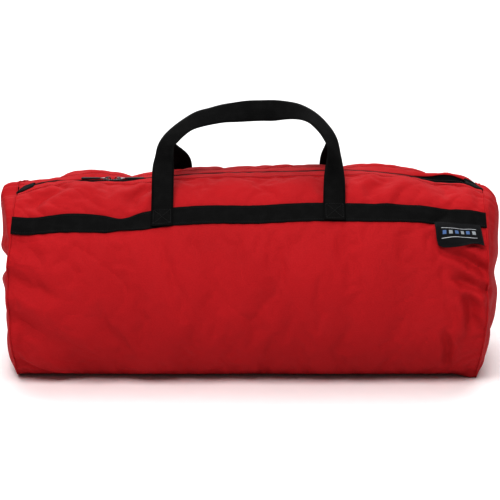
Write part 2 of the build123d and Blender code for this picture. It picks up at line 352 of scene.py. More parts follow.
def simulate_slack():
    """Cloth simulation of the stuffed shell, held by its seams, bands and zip and on the floor.
    Returns how far the grid of points over (SIM_X, SIM_T) moved."""
    x, t = np.meshgrid(SIM_X, SIM_T, indexing="ij")
    start = shaped_skin(x, t)
    rows, columns = x.shape
    made = mesh_piece("slack", start, flipped(grid_faces(rows, columns, closed=True)), [])
    on_floor = smooth(np.abs(t), BASE_SEAM - 0.055, BASE_SEAM - 0.020)
    held = np.maximum(1 - smooth(SEAM - np.abs(x), 0.000, 0.010), on_floor)
    for side in (-1, 1):
        held = np.maximum(held, 1 - smooth(np.abs(t - band_at(x, side)), 0.014, 0.024))
    held = np.maximum(held, 1 - smooth(np.abs(t - zip_at(x)), 0.020, 0.034)).reshape(-1)
    group = made.vertex_groups.new(name="held")
    for index in np.flatnonzero(held > 0.01):
        group.add([int(index)], float(held[index]), "REPLACE")
    cloth = made.modifiers.new("cloth", "CLOTH")
    cloth.collision_settings.use_collision = False
    for key, value in SIM_SETTINGS.items():
        setattr(cloth.settings, key, value)
    cloth.settings.effector_weights.gravity = 0
    scene = bpy.context.scene
    for frame_number in range(1, SIM_FRAMES + 1):
        scene.frame_set(frame_number)
    evaluated = made.evaluated_get(bpy.context.evaluated_depsgraph_get())
    moved = np.empty(rows * columns * 3)
    evaluated.data.vertices.foreach_get("co", moved)
    scene.frame_set(1)
    data = made.data
    bpy.data.objects.remove(made)
    bpy.data.meshes.remove(data)
    moved = moved.reshape(rows, columns, 3) - start
    # The shape already has the stuffed size, so only the folds are kept, not the swelling.
    swelling = moved
    for _ in range(SIM_SMOOTHING):
        swelling = softened(swelling)
        swelling = (np.roll(swelling, 1, 1) + 2 * swelling + np.roll(swelling, -1, 1)) / 4
    moved = moved - SWELLING_LEFT_OUT * swelling
    size = np.linalg.norm(moved, axis=-1, keepdims=True)
    return FOLD_GAIN * moved / (1 + size / SIM_CAP)


SLACK = None


def slack_at(x, t):
    """Smooth cubic interpolation of the simulated movement."""
    u = np.clip((x - SIM_X[0]) / (SIM_X[1] - SIM_X[0]), 0, len(SIM_X) - 1)
    v = (t - SIM_T[0]) / (SIM_T[1] - SIM_T[0])
    i, j = np.floor(u).astype(int), np.floor(v).astype(int)
    fu, fv = u - i, v - j

    def weights(f):
        near, far = (3 * f**3 - 6 * f**2 + 4) / 6, (-3 * f**3 + 3 * f**2 + 3 * f + 1) / 6
        return (1 - f) ** 3 / 6, near, far, f**3 / 6

    total = 0
    for a, wa in enumerate(weights(fu)):
        row = np.clip(i + a - 1, 0, len(SIM_X) - 1)
        for b, wb in enumerate(weights(fv)):
            total = total + (wa * wb)[..., None] * SLACK[row, (j + b - 1) % len(SIM_T)]
    return total


def skin(x, t, fine=1.0):
    """Points on the outside of the cloth. fine scales the small wrinkles, which webbing bridges."""
    x, t = grid_of(x, t)
    points = shaped_skin(x, t, fine)
    if SLACK is not None:
        points = points + slack_at(x, t) * (0.4 + 0.6 * fine)
        points[..., 2] = np.maximum(points[..., 2], 0.0)
    return points


def skin_normal(x, t, fine=1.0):
    """Outward normals of the skin."""
    along = skin(x + NUDGE, t, fine) - skin(x - NUDGE, t, fine)
    across = skin(x, t + NUDGE, fine) - skin(x, t - NUDGE, fine)
    return unit(np.cross(along, across))


def over(x, t, lift, fine=0.0):
    """Points lifted off the skin, for what lies on the cloth."""
    x, t = grid_of(x, t)
    return skin(x, t, fine) + skin_normal(x, t, fine) * np.asarray(lift)[..., None]


# ---------------------------------------------------------------- materials
class Look:
    """A material, with short names for its nodes. A value is a number, a colour or a node's output."""

    def __init__(self, name, roughness, specular, metallic=0.0, sheen=0.0):
        self.made = bpy.data.materials.new(name)
        self.made.use_nodes = True
        self.tree = self.made.node_tree
        self.shader = self.tree.nodes["Principled BSDF"]
        self.show("Roughness", roughness)
        self.show("Specular IOR Level", specular)
        self.show("Metallic", metallic)
        self.show("Sheen Weight", sheen)
        self.show("Sheen Roughness", 0.45)

    def put(self, socket, value):
        if isinstance(value, (int, float)):
            socket.default_value = value
        elif isinstance(value, tuple):
            socket.default_value = (*value, 1.0)
        else:
            self.tree.links.new(value, socket)

    def show(self, name, value):
        self.put(self.shader.inputs[name], value)

    def node(self, kind, inputs, **settings):
        made = self.tree.nodes.new("ShaderNode" + kind)
        for key, value in settings.items():
            setattr(made, key, value)
        for socket, value in inputs.items():
            self.put(made.inputs[socket], value)
        return made.outputs

    def uv(self):
        return self.node("UVMap", {})[0]

    def place(self):
        return self.node("TexCoord", {})["Object"]

    def parts(self, vector):
        return list(self.node("SeparateXYZ", {0: vector}))

    def math(self, operation, a, b=None):
        return self.node("Math", {0: a} if b is None else {0: a, 1: b}, operation=operation)[0]

    def times(self, a, b):
        return self.math("MULTIPLY", a, b)

    def plus(self, a, b):
        return self.math("ADD", a, b)

    def above(self, a, b):
        return self.math("GREATER_THAN", a, b)

    def inside(self, value, low, high):
        return self.times(self.above(value, low), self.math("LESS_THAN", value, high))

    def mix(self, share, a, b):
        return self.node("Mix", {0: share, 6: a, 7: b}, data_type="RGBA")[2]

    def noise(self, vector, scale, detail=2.0, low=0.35, high=0.65):
        """Noise mapped to 0 to 1."""
        value = self.node("TexNoise", {"Scale": scale, "Detail": detail, "Vector": vector})["Fac"]
        return self.node("MapRange", {"From Min": low, "From Max": high, "Value": value})[0]

    def waves(self, vector, axis, pitch):
        """A sine profile of threads, 0 to 1, with the given pitch in metres."""
        turn = self.times(self.parts(vector)[axis], 2 * math.pi / pitch)
        return self.plus(self.times(self.math("SINE", turn), 0.5), 0.5)

    def bump(self, height, distance, strength, before=None):
        inputs = {"Distance": distance, "Strength": strength, "Height": height}
        if before is not None:
            inputs["Normal"] = before
        normal = self.node("Bump", inputs)[0]
        self.show("Normal", normal)
        return normal


def cloth_material(name, light, dark, specular, pitch=0.0011, roughness=0.66, dust=0.10):
    """Plain weave with thicker threads here and there, clouded colour and scuffs."""
    look = Look(name, roughness, specular)
    uv, place = look.uv(), look.place()
    weave = look.times(look.waves(uv, 0, pitch), look.waves(uv, 1, pitch))
    slub = look.noise(uv, 420.0)
    cloud = look.noise(place, 7.0, 3.0, 0.3, 0.7)
    scuff = look.noise(place, 38.0, 5.0, 0.52, 0.74)
    colour = look.mix(cloud, light, dark)
    colour = look.mix(look.times(weave, 0.22), colour, (0.0, 0.0, 0.0))
    lighter = tuple(c * 1.25 + 0.012 for c in light)
    colour = look.mix(look.times(slub, 0.18), colour, lighter)
    grey = tuple(0.75 * c + 0.05 for c in light)
    look.show("Base Color", look.mix(look.times(scuff, dust), colour, grey))
    look.show("Roughness", look.plus(look.times(scuff, 0.12), roughness - 0.05))
    soft = look.bump(look.noise(place, 26.0, 4.0, 0.2, 0.8), 0.0012, 0.5)
    look.bump(look.plus(weave, look.times(slub, 0.5)), 0.00016, 0.8, soft)
    return look.made


def webbing_material(name, base, edge):
    """Ribbed webbing with a chevron weave, plain selvedges and worn patches."""
    look = Look(name, 0.60, 0.07)
    uv = look.uv()
    along, across = look.parts(uv)[:2]
    ribs = look.waves(uv, 1, 0.0030)
    picks = look.waves(uv, 0, 0.0017)
    shifted = look.plus(along, look.times(ribs, 0.0009))
    chevron = look.math("SINE", look.times(shifted, 2 * math.pi / 0.0034))
    chevron = look.plus(look.times(chevron, 0.5), 0.5)
    height = look.plus(look.times(ribs, 0.5), look.times(picks, 0.3))
    height = look.plus(height, look.times(chevron, 0.45))
    selvedge = look.above(look.math("ABSOLUTE", across), 0.0165)
    wear = look.noise(uv, 60.0, 4.0, 0.45, 0.75)
    colour = look.mix(look.times(height, 0.5), base, edge)
    colour = look.mix(look.times(selvedge, 0.5), colour, edge)
    worn = tuple(c * 2.2 + 0.006 for c in edge)
    look.show("Base Color", look.mix(look.times(wear, 0.25), colour, worn))
    look.bump(height, 0.00035, 0.8)
    return look.made


def thread_material(name, colour, darker):
    look = Look(name, 0.5, 0.2, sheen=0.03)
    twist = look.noise(look.place(), 900.0, 1.0)
    look.show("Base Color", look.mix(twist, colour, darker))
    look.bump(twist, 0.0001, 0.5)
    return look.made


def hard_material(name, base, worn, roughness, metallic, wear_scale=90.0, wear_low=0.55, specular=0.5):
    """Lacquered, bare or moulded small parts, worn in patches."""
    look = Look(name, roughness, specular, metallic)
    place = look.place()
    patch = look.noise(place, wear_scale, 5.0, wear_low, wear_low + 0.14)
    fine = look.noise(place, 1400.0, 2.0, 0.3, 0.7)
    look.show("Base Color", look.mix(patch, base, worn))
    look.show("Roughness", look.plus(look.times(fine, 0.14), roughness - 0.06))
    look.bump(fine, 0.00005, 0.4)
    return look.made


def label_material():
    """Black satin weave with a fine border and a woven pattern: small squares between two lines."""
    look = Look("label_weave", 0.52, 0.10)
    uv = look.uv()
    across, down = look.parts(uv)[:2]
    half, cell = 0.0300, 0.0100
    wide = look.inside(across, -half, half)
    shifted = look.plus(across, half)
    in_cell = look.math("MODULO", shifted, cell)
    squares = look.times(look.inside(in_cell, 0.0020, 0.0080), look.inside(down, -0.0010, 0.0060))
    squares = look.times(squares, wide)
    pair = look.above(look.math("MODULO", shifted, 2 * cell), cell)
    low_line = look.times(look.inside(down, -0.0082, -0.0068), wide)
    top_line = look.times(look.inside(down, 0.0098, 0.0110), wide)
    lines = look.math("MAXIMUM", low_line, top_line)
    satin = look.plus(look.waves(uv, 1, 0.0007), look.waves(uv, 0, 0.0013))
    satin = look.times(satin, 0.5)
    ground = look.mix(satin, (0.0040, 0.0042, 0.0052), (0.0085, 0.0088, 0.0102))
    colour = look.mix(squares, ground, look.mix(pair, (0.10, 0.17, 0.33), (0.30, 0.32, 0.34)))
    colour = look.mix(lines, colour, look.mix(satin, (0.42, 0.43, 0.45), (0.60, 0.61, 0.63)))
    frame_x = look.above(look.math("ABSOLUTE", across), 0.0368)
    frame_y = look.above(look.math("ABSOLUTE", down), 0.0204)
    border = look.math("MAXIMUM", frame_x, frame_y)
    look.show("Base Color", look.mix(look.times(border, 0.6), colour, (0.014, 0.014, 0.016)))
    look.bump(look.plus(satin, look.plus(squares, look.plus(lines, border))), 0.00022, 0.8)
    return look.made


RED = cloth_material("red_cloth", (0.436, 0.0188, 0.0245), (0.388, 0.0162, 0.0210), 0.06, dust=0.05)
LINING = cloth_material("lining_cloth", (0.060, 0.010, 0.011), (0.040, 0.008, 0.009), 0.1, roughness=0.5)
WEB = webbing_material("black_webbing", (0.0022, 0.0022, 0.0023), (0.0056, 0.0055, 0.0056))
TAPE = cloth_material(
    "zip_tape", (0.0050, 0.0050, 0.0053), (0.0036, 0.0036, 0.0039), 0.04, pitch=0.0008, dust=0.03
)
BINDING = cloth_material(
    "black_binding", (0.0055, 0.0054, 0.0056), (0.004, 0.0039, 0.0040), 0.06, pitch=0.0009, dust=0.05
)
# Painted shade: the red thread is darker than the cloth so that it stands in for the fold shadow along the
# facing seams.
RED_THREAD = thread_material("red_thread", (0.22, 0.006, 0.009), (0.13, 0.004, 0.005))
BLACK_THREAD = thread_material("black_thread", (0.030, 0.030, 0.031), (0.014, 0.014, 0.014))
TEETH = hard_material("zip_teeth", (0.004, 0.004, 0.0045), (0.010, 0.010, 0.011), 0.50, 0.0, specular=0.12)
LACQUER = hard_material(
    "slider_lacquer", (0.012, 0.012, 0.013), (0.30, 0.29, 0.28), 0.30, 0.75, 160.0, 0.60
)
STEEL = hard_material("link_steel", (0.30, 0.30, 0.31), (0.16, 0.16, 0.16), 0.30, 1.0, 120.0, 0.5)
GRIP = hard_material("grip_rubber", (0.006, 0.006, 0.0065), (0.014, 0.014, 0.015), 0.50, 0.0, 60.0, 0.5, 0.25)
LABEL = label_material()


# ---------------------------------------------------------------- mesh building
def mesh_piece(name, verts, faces, materials, uvs=None, flat=False, closed=False):
    """A mesh object. closed is for solids, whose faces are all turned outwards."""
    data = bpy.data.meshes.new(name)
    data.from_pydata([tuple(v) for v in np.asarray(verts, float).reshape(-1, 3)], [], faces)
    for made in materials:
        data.materials.append(made)
    if uvs is not None:
        layer = data.uv_layers.new(name="UVMap")
        flat_uvs = np.asarray(uvs, float).reshape(-1, 2)
        index = np.array([loop.vertex_index for loop in data.loops])
        layer.data.foreach_set("uv", flat_uvs[index].ravel())
    if closed:
        work = bmesh.new()
        work.from_mesh(data)
        bmesh.ops.recalc_face_normals(work, faces=work.faces)
        work.to_mesh(data)
        work.free()
    data.polygons.foreach_set("use_smooth", [not flat] * len(data.polygons))
    data.update()
    made = bpy.data.objects.new(name, data)
    bpy.context.collection.objects.link(made)
    return made


def grid_faces(rows, columns, closed=False, start=0):
    """Quads of a grid stored row by row."""
    faces = []
    last = columns if closed else columns - 1
    for i in range(rows - 1):
        for j in range(last):
            k = (j + 1) % columns
            a, b = start + i * columns + j, start + i * columns + k
            faces.append((a, b, b + columns, a + columns))
    return faces


def capped(rows, columns, start=0):
    """Faces of a closed tube of rings, with its two ends filled."""
    last = start + (rows - 1) * columns
    caps = [tuple(start + k for k in reversed(range(columns))), tuple(last + k for k in range(columns))]
    return grid_faces(rows, columns, True, start) + caps


def flipped(faces):
    return [f[::-1] for f in faces]


def two_sided(name, points, normals, thick, faces, rim, uvs, materials):
    """A mesh of faces, the same faces moved in by thick and turned over, and a rim. Returns it and the
    normals of its corners."""
    count = len(points)
    inside = [tuple(v + count for v in f[::-1]) for f in faces]
    verts = np.vstack([points, points - normals * thick])
    made = mesh_piece(name, verts, faces + inside + rim(count), materials, np.vstack([uvs, uvs]))
    data = made.data
    if len(materials) > 1:
        marks = [0] * len(faces) + [1] * len(inside) + [0] * (len(data.polygons) - 2 * len(faces))
        data.polygons.foreach_set("material_index", marks)
    loops = np.array([loop.vertex_index for loop in data.loops])
    return made, np.vstack([normals, -normals])[loops]


def sheet_mesh(name, outer, normals, uvs, material, thick, inner=None):
    """A cloth or strip from a grid of points: outside, inside and rim, with given smooth normals."""
    rows, columns = outer.shape[:2]
    faces = grid_faces(rows, columns)
    i, j = rows // 2, columns // 2
    side_a = outer[i, min(j + 1, columns - 1)] - outer[i, max(j - 1, 0)]
    side_b = outer[min(i + 1, rows - 1), j] - outer[max(i - 1, 0), j]
    if np.dot(np.cross(side_a, side_b), normals[i, j]) < 0:
        faces = flipped(faces)
    used = {(f[k], f[(k + 1) % 4]) for f in faces for k in range(4)}

    def rim(count):
        return sorted((b, a, a + count, b + count) for a, b in used if (b, a) not in used)

    made, per_loop = two_sided(
        name, outer.reshape(-1, 3), normals.reshape(-1, 3), thick, faces, rim,
        np.asarray(uvs, float).reshape(-1, 2), [material, inner] if inner else [material],
    )
    rim_normals = np.array([p.normal[:] for p in made.data.polygons[2 * len(faces):]], float)
    per_loop[8 * len(faces):] = np.repeat(rim_normals, 4, 0)
    made.data.normals_split_custom_set(per_loop.tolist())
    return made


def surface_piece(name, shape, xs, vs, uv, material, thick, inner=None):
    """A strip from a function of (x, v). Its normals come from the function, so neighbours match."""
    x, v = np.meshgrid(xs, vs, indexing="ij")
    points = shape(x, v)
    dv = 0.25 * np.min(np.diff(vs))
    along = shape(x + NUDGE, v) - shape(x - NUDGE, v)
    normals = unit(np.cross(along, shape(x, v + dv) - shape(x, v - dv)))
    away = points - [0.0, 0.0, 0.17]
    away[..., 0] = 0
    if np.sum(normals * away) < 0:
        normals = -normals
    return sheet_mesh(name, points, normals, uv(x, v), material, thick, inner)


SLACK = simulate_slack()


def finish_piece(made, body="shell", replaces=()):
    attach(made, body)
    if replaces:
        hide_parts(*replaces)
    return made


def stitch_run(points, normals, length, thick, start=0):
    """Verts and faces of small raised stitches, one at each point, each aimed at the next point."""
    verts, faces = [], []
    rings = [(-0.5, 0.35), (-0.30, 0.9), (0.0, 1.0), (0.30, 0.9), (0.5, 0.35)]
    sides = 6
    for i in range(len(points) - 1):
        aim = points[i + 1] - points[i]
        step = np.linalg.norm(aim)
        if step < 1e-6:
            continue
        aim = aim / step
        up = unit(normals[i])
        across = np.cross(up, aim)
        middle = points[i] + aim * step / 2
        base = start + len(verts)
        for along, size in rings:
            dip = -thick * 1.2 * (2 * along) ** 2
            for k in range(sides):
                turn = 2 * math.pi * k / sides
                offset = math.cos(turn) * across + math.sin(turn) * up
                verts.append(middle + aim * along * length + up * dip + offset * thick * size)
        faces += capped(len(rings), sides, base)
    return verts, faces


def stitch_piece(name, runs, material, body, length=0.0030, thick=0.00032):
    verts, faces = [], []
    for points, normals in runs:
        v, f = stitch_run(np.asarray(points), np.asarray(normals), length, thick, len(verts))
        verts += v
        faces += f
    made = mesh_piece(name, verts, faces, [material], closed=True)
    return finish_piece(made, body)


# ---------------------------------------------------------------- walls, base and ends
def spans(low, high, pitch):
    return np.linspace(low, high, max(2, int(round((high - low) / pitch)) + 1))


def cloth_sheet(name, xs, t_from, t_to):
    """Cloth between two lines that run along the bag, given as functions of x."""
    count = max(3, int(np.max(np.abs(t_to(xs) - t_from(xs))) / CLOTH_PITCH) + 1)

    def place(x, share):
        return t_from(x) + (t_to(x) - t_from(x)) * share

    return surface_piece(
        name, lambda x, share: skin(x, place(x, share)), xs, np.linspace(0, 1, count),
        lambda x, share: np.stack([x, place(x, share)], -1), RED, CLOTH_THICK, LINING,
    )


def ride_or_fold(made, side_name, stretch, replaces=()):
    """A piece beside the zip rides on the shell, or, in the mouth's two middle stretches, has its place baked
    in and stays unattached.
    """
    if stretch in ("left", "right"):
        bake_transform(made)
    else:
        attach(made, "shell")
    if replaces:
        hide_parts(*replaces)


STRETCHES = {
    "west": (-SEAM, MOUTH[0]),
    "left": (MOUTH[0], MOUTH_MID),
    "right": (MOUTH_MID, MOUTH[1]),
    "east": (MOUTH[1], SEAM),
}

for side_name, side in SIDES.items():

    def band_line(x):
        return band_at(x, side)

    xs = spans(-SEAM, SEAM, CLOTH_PITCH)
    wall = cloth_sheet(f"wall_{side_name}", xs, band_line, lambda x: side * BASE_SEAM + 0 * x)
    finish_piece(wall, "shell", [f"{side_name}_panel"])
    for stretch, (x0, x1) in STRETCHES.items():
        sheet = cloth_sheet(
            f"crown_{side_name}_{stretch}", spans(x0, x1, CLOTH_PITCH),
            lambda x: zip_at(x) + side * FACING_SEAM * 0.75, band_line,
        )
        stands_for = [f"mouth_lip_{side_name}"] if stretch == "left" else []
        ride_or_fold(sheet, side_name, stretch, stands_for)

base_t = spans(BASE_SEAM, 2 * HALF_GIRTH - BASE_SEAM, 0.008)
base_x, base_s = np.meshgrid(spans(-SEAM, SEAM, 0.010), base_t, indexing="ij")
base_points = skin(base_x, np.where(base_s > HALF_GIRTH, base_s - 2 * HALF_GIRTH, base_s))
edge = np.minimum(base_s - BASE_SEAM, 2 * HALF_GIRTH - BASE_SEAM - base_s)
hollow = smooth(noise(base_x * 9, base_s * 12, 21), 0.1, 0.9) * smooth(edge, 0, 0.03)
base_points[..., 2] = 0.0001 + 0.0012 * hollow
down = np.zeros_like(base_points)
down[..., 2] = -1
base = sheet_mesh(
    "base_cloth", base_points - down * CLOTH_THICK, down, np.stack([base_x, base_s], -1),
    RED, CLOTH_THICK, LINING,
)
finish_piece(base, "shell", ["bottom_panel"])


# Creases of each end in (y, z): from, to, half width, depth. The left end has a deep pinch at half height.
END_CREASES = {
    -1: [
        ((-0.20, 0.232), (0.20, 0.130), 0.015, 0.0105),
        ((-0.12, 0.060), (0.02, 0.110), 0.020, 0.0035),
        ((0.02, 0.300), (0.12, 0.240), 0.018, 0.0035),
        ((-0.13, 0.270), (-0.05, 0.300), 0.016, 0.0030),
    ],
    1: [
        ((-0.20, 0.215), (0.20, 0.112), 0.018, 0.0036),
        ((-0.14, 0.130), (-0.04, 0.030), 0.022, 0.0050),
        ((0.00, 0.280), (0.14, 0.250), 0.018, 0.0035),
        ((0.05, 0.070), (0.13, 0.120), 0.020, 0.0035),
    ],
}
END_CENTRE = 0.172


def end_points(sign, r, t):
    """Points of a stuffed end: r is 1 on the seam and 0 in the middle, t runs round the seam."""
    rim = skin(sign * SEAM + 0 * t, t)
    y = rim[..., 1] * r
    z = END_CENTRE + (rim[..., 2] - END_CENTRE) * r
    reach = sign * rim[..., 0]
    # Fullest along a level line through the middle, falling off to the front and back.
    reach_y = BULGE - (0.0085 if sign < 0 else 0.003) - 0.235 * (np.sqrt(0.05**2 + y**2) - 0.05)
    low = 0.55 + 0.45 * smooth(z, 0.0, 0.12) if sign > 0 else 0.86 + 0.14 * smooth(z, 0.0, 0.06)
    full = smooth(z, 0.20, 0.31) if sign < 0 else 0.0
    out = reach_y * low * (1 - np.clip(r, 0, 1) ** (7 + 26 * full)) ** (0.55 - 0.08 * full)
    puckers = noise(t * 34, 3.0 * sign + r * 2, 6) + 0.6 * noise(t * 71, 5.0 * sign, 7)
    out = out - 0.0016 * (1.4 + puckers) * bump(r, 0.94, 0.05)
    out = out - 0.0030 * ridge(y * 7 + 3 * sign, z * 6, 33) * (1 - r**4)
    for one in END_CREASES[sign]:
        out = out + crease(y, z, *one) * smooth(1 - r, 0.0, 0.10)
    edge = SEAM + (reach - SEAM) * r**3
    out = np.minimum(edge + out, SEAM + BULGE) - edge
    return np.stack([sign * (edge + np.maximum(out, 0)), y, z], -1)


def end_panel(name, sign):
    """A round end that bulges out of its seam."""
    t = np.linspace(-HALF_GIRTH, HALF_GIRTH, 301)[:-1]
    rho = np.sqrt(np.linspace(1, 0, 62)[:-1])
    rho = 1 - (1 - rho) * (0.35 + 0.65 * (1 - rho) ** 0.35)
    rho = rho / rho[0]
    r, tt = np.meshgrid(rho, t, indexing="ij")
    points = end_points(sign, r, tt)
    d = 0.002
    across = end_points(sign, r, tt + d) - end_points(sign, r, tt - d)
    r_out = np.minimum(r + 0.004, 1)
    normals = np.cross(across, end_points(sign, r_out, tt) - end_points(sign, r_out - 0.008, tt))
    normals *= np.sign(np.sum(normals[..., 0]) * sign)
    normals /= np.maximum(np.linalg.norm(normals, axis=-1, keepdims=True), 1e-9)
    rows, columns = r.shape
    faces = grid_faces(rows, columns, closed=True)
    last = (rows - 1) * columns
    faces += [(last + j, last + (j + 1) % columns, rows * columns) for j in range(columns)]
    outer = np.vstack([points.reshape(-1, 3), points[-1].mean(0, keepdims=True)])
    outward = np.vstack([normals.reshape(-1, 3), [[sign, 0.0, 0.0]]])

    def rim(count):
        edge = [(j, (j + 1) % columns, (j + 1) % columns + count, j + count) for j in range(columns)]
        return flipped(edge) if sign < 0 else edge

    made, per_loop = two_sided(
        name, outer, outward, CLOTH_THICK, flipped(faces) if sign > 0 else faces, rim,
        outer[:, 1:], [RED, LINING],
    )
    made.data.normals_split_custom_set(per_loop.tolist())
    return made


def tube(points, radius, sides=8):
    """Round tube along a closed loop of points: verts, faces, uvs."""
    points = np.asarray(points, float)
    ahead = unit(np.roll(points, -1, 0) - np.roll(points, 1, 0))
    guide = [1.0, 0.0, 0.0] if abs(ahead[0][0]) < 0.8 else [0.0, 0.0, 1.0]
    side = unit(np.cross(ahead, guide))
    up = np.cross(side, ahead)
    turn = np.linspace(0, 2 * math.pi, sides, endpoint=False)
    ring = np.cos(turn)[None, :, None] * side[:, None, :] + np.sin(turn)[None, :, None] * up[:, None, :]
    verts = points[:, None, :] + radius * ring
    uvs = np.stack(np.broadcast_arrays(run_length(points)[:, None], turn[None, :] * radius), -1)
    faces = grid_faces(len(points), sides, closed=True)
    last = (len(points) - 1) * sides
    faces += [(last + k, last + (k + 1) % sides, (k + 1) % sides, k) for k in range(sides)]
    return verts.reshape(-1, 3), faces, uvs.reshape(-1, 2)


for end_name, sign in (("left", -1), ("right", 1)):
    finish_piece(end_panel(f"end_cloth_{end_name}", sign), "shell", [f"end_panel_{end_name}"])
    # Seam allowance: a narrow rolled ridge right round the end seam.
    t = np.linspace(-HALF_GIRTH, HALF_GIRTH, 361)[:-1]
    rim = skin(sign * SEAM + 0 * t, t)
    lift = np.stack([0 * t, outline(t)[2], outline(t)[3]], -1)
    roll = rim + lift * 0.0004 * (1 - smooth(np.abs(t), BASE_SEAM - 0.05, BASE_SEAM))[:, None]
    roll[:, 2] = np.maximum(roll[:, 2], 0.0017)
    verts, faces, uvs = tube(roll, 0.0016)
    welt = mesh_piece(f"end_seam_{end_name}", verts, faces, [RED], uvs, closed=True)
    finish_piece(welt)
    # Binding tape over the raw edges inside.
    t = spans(-HALF_GIRTH, HALF_GIRTH, 0.008)
    t = t[np.abs(t) > 0.030]
    for half, part in (("front", t[t < 0]), ("back", t[t > 0])):

        def inside_seam(x, tt, sign=sign):
            points = over(sign * (SEAM - x), tt, -0.0034 + 0 * x, 1.0)
            points[..., 2] = np.maximum(points[..., 2], 0.0036)
            return points

        tape = surface_piece(
            f"seam_binding_{end_name}_{half}", inside_seam, np.linspace(0.001, 0.015, 5), part,
            lambda x, tt: np.stack([tt, x], -1), BINDING, 0.001,
        )
        finish_piece(tape, "shell", [f"end_binding_{end_name}"])


# ---------------------------------------------------------------- webbing bands
def band_points(x, v, side, lift):
    """Points on a band: x along it, v across it (metres from its middle)."""
    pinch = 1 - 0.34 * bump(x, -0.220, 0.022) if side < 0 else 1.0
    lift = lift + 0.0010 * bump(x, -0.220, 0.014)
    return over(x, band_at(x, side) + v * pinch, lift, BAND_ROUGH)


for side_name, side in SIDES.items():

    def band_face(x, v):
        rounded = 0.0003 * (np.abs(v) / (WEBBING / 2)) ** 6
        return band_points(x, v, side, BAND_LIFT + WEBBING_THICK - rounded)

    band = surface_piece(
        f"webbing_band_{side_name}", band_face, spans(-SEAM, SEAM, 0.004),
        np.linspace(-WEBBING / 2, WEBBING / 2, 13), lambda x, v: np.stack([x, v], -1), WEB, WEBBING_THICK,
    )
    finish_piece(band, "shell", [f"band_{side_name}"])
    runs = []
    for v0 in (-STITCH_ROW, STITCH_ROW):
        xs = spans(-SEAM + 0.002, SEAM - 0.002, 0.0042)
        points = band_points(xs, v0 + 0 * xs, side, BAND_LIFT + WEBBING_THICK + 0.0001)
        runs.append((points, skin_normal(xs, band_at(xs, side) + v0, BAND_ROUGH)))
    stitch_piece(f"band_stitches_{side_name}", runs, BLACK_THREAD, "shell")


# ---------------------------------------------------------------- handles
# Middle line of each loop in its leaning plane: (x, height up the plane), and how far the webbing has
# turned its face outwards from the loop, in degrees.
FRONT_LOOP = [
    (-0.1500, 0.0000, 0), (-0.1503, 0.0300, 0), (-0.1502, 0.0620, 0), (-0.1490, 0.0920, 28),
    (-0.1447, 0.1156, 31), (-0.1370, 0.1275, 27), (-0.1290, 0.1368, 27), (-0.1084, 0.1545, 25),
    (-0.0872, 0.1656, 14), (-0.0660, 0.1716, 11), (-0.0445, 0.1767, 4), (-0.0231, 0.1792, -5),
    (0.0000, 0.1816, -14), (0.0210, 0.1824, -12), (0.0420, 0.1826, -14), (0.0628, 0.1830, 2),
    (0.0840, 0.1808, 14), (0.1052, 0.1726, 27), (0.1177, 0.1634, 33), (0.1282, 0.1516, 36),
    (0.1368, 0.1396, 38), (0.1428, 0.1277, 41), (0.1468, 0.1157, 46), (0.1492, 0.1038, 49),
    (0.1504, 0.0920, 46), (0.1500, 0.0686, 31), (0.1488, 0.0360, 8), (0.1480, 0.0000, 0),
]
BACK_LOOP = [
    (-0.1270, 0.0000, 0), (-0.1248, 0.0180, 2), (-0.1252, 0.0300, 12), (-0.1325, 0.0450, 42),
    (-0.1455, 0.0610, 56), (-0.1505, 0.0790, 54), (-0.1437, 0.1020, 46), (-0.1303, 0.1195, 42),
    (-0.1114, 0.1365, 38), (-0.0891, 0.1490, 28), (-0.0453, 0.1615, 14), (-0.0018, 0.1660, 6),
    (0.0416, 0.1675, 8), (0.0700, 0.1660, 20), (0.0900, 0.1615, 30), (0.1080, 0.1525, 38),
    (0.1230, 0.1390, 42), (0.1360, 0.1215, 46), (0.1455, 0.1020, 50), (0.1545, 0.0820, 52),
    (0.1560, 0.0670, 46), (0.1525, 0.0500, 30), (0.1515, 0.0340, 12), (0.1520, 0.0000, 0),
]
LOOPS = {"front": FRONT_LOOP, "back": BACK_LOOP}
LEAN = math.radians(37.5)
LOOP_POINTS = 170
FOOT_POINTS = 20


